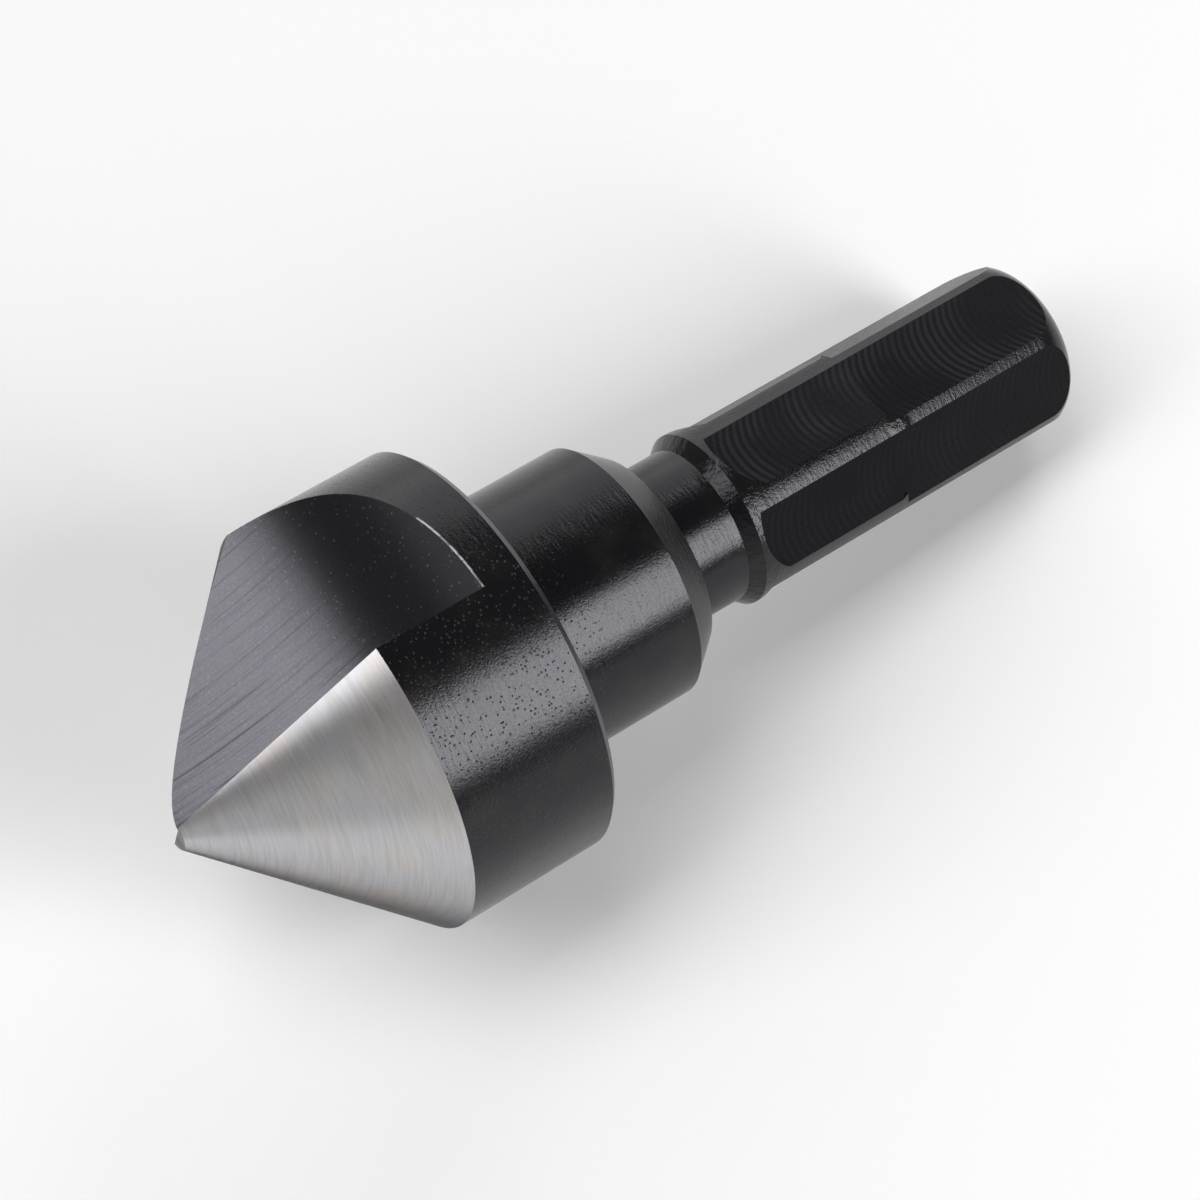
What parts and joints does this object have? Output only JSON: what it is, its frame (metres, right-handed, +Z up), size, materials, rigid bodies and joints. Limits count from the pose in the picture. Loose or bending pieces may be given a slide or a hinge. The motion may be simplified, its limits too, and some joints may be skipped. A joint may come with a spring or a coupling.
{
  "type": "countersink bit",
  "caption": "Countersink bit with a 90 degree cutting cone, a single hollow-ground flute, a stepped body and a short hexagonal shank.",
  "frame": {"origin": "on the bench, under the centre of the bit's bounding box, as it lies at rest on the rim of its head and the end of its shank", "axes": "+X from the tip towards the shank's end, +Z up, +Y to the side that the flute opens to"},
  "size_m": [0.0386, 0.016, 0.0167],
  "materials": {
    "tool_steel": "black oxide, with the cone and the flute ground bright"
  },
  "bodies": {
    "root": {"countersink_bit": "tool_steel"}
  },
  "joints": []
}
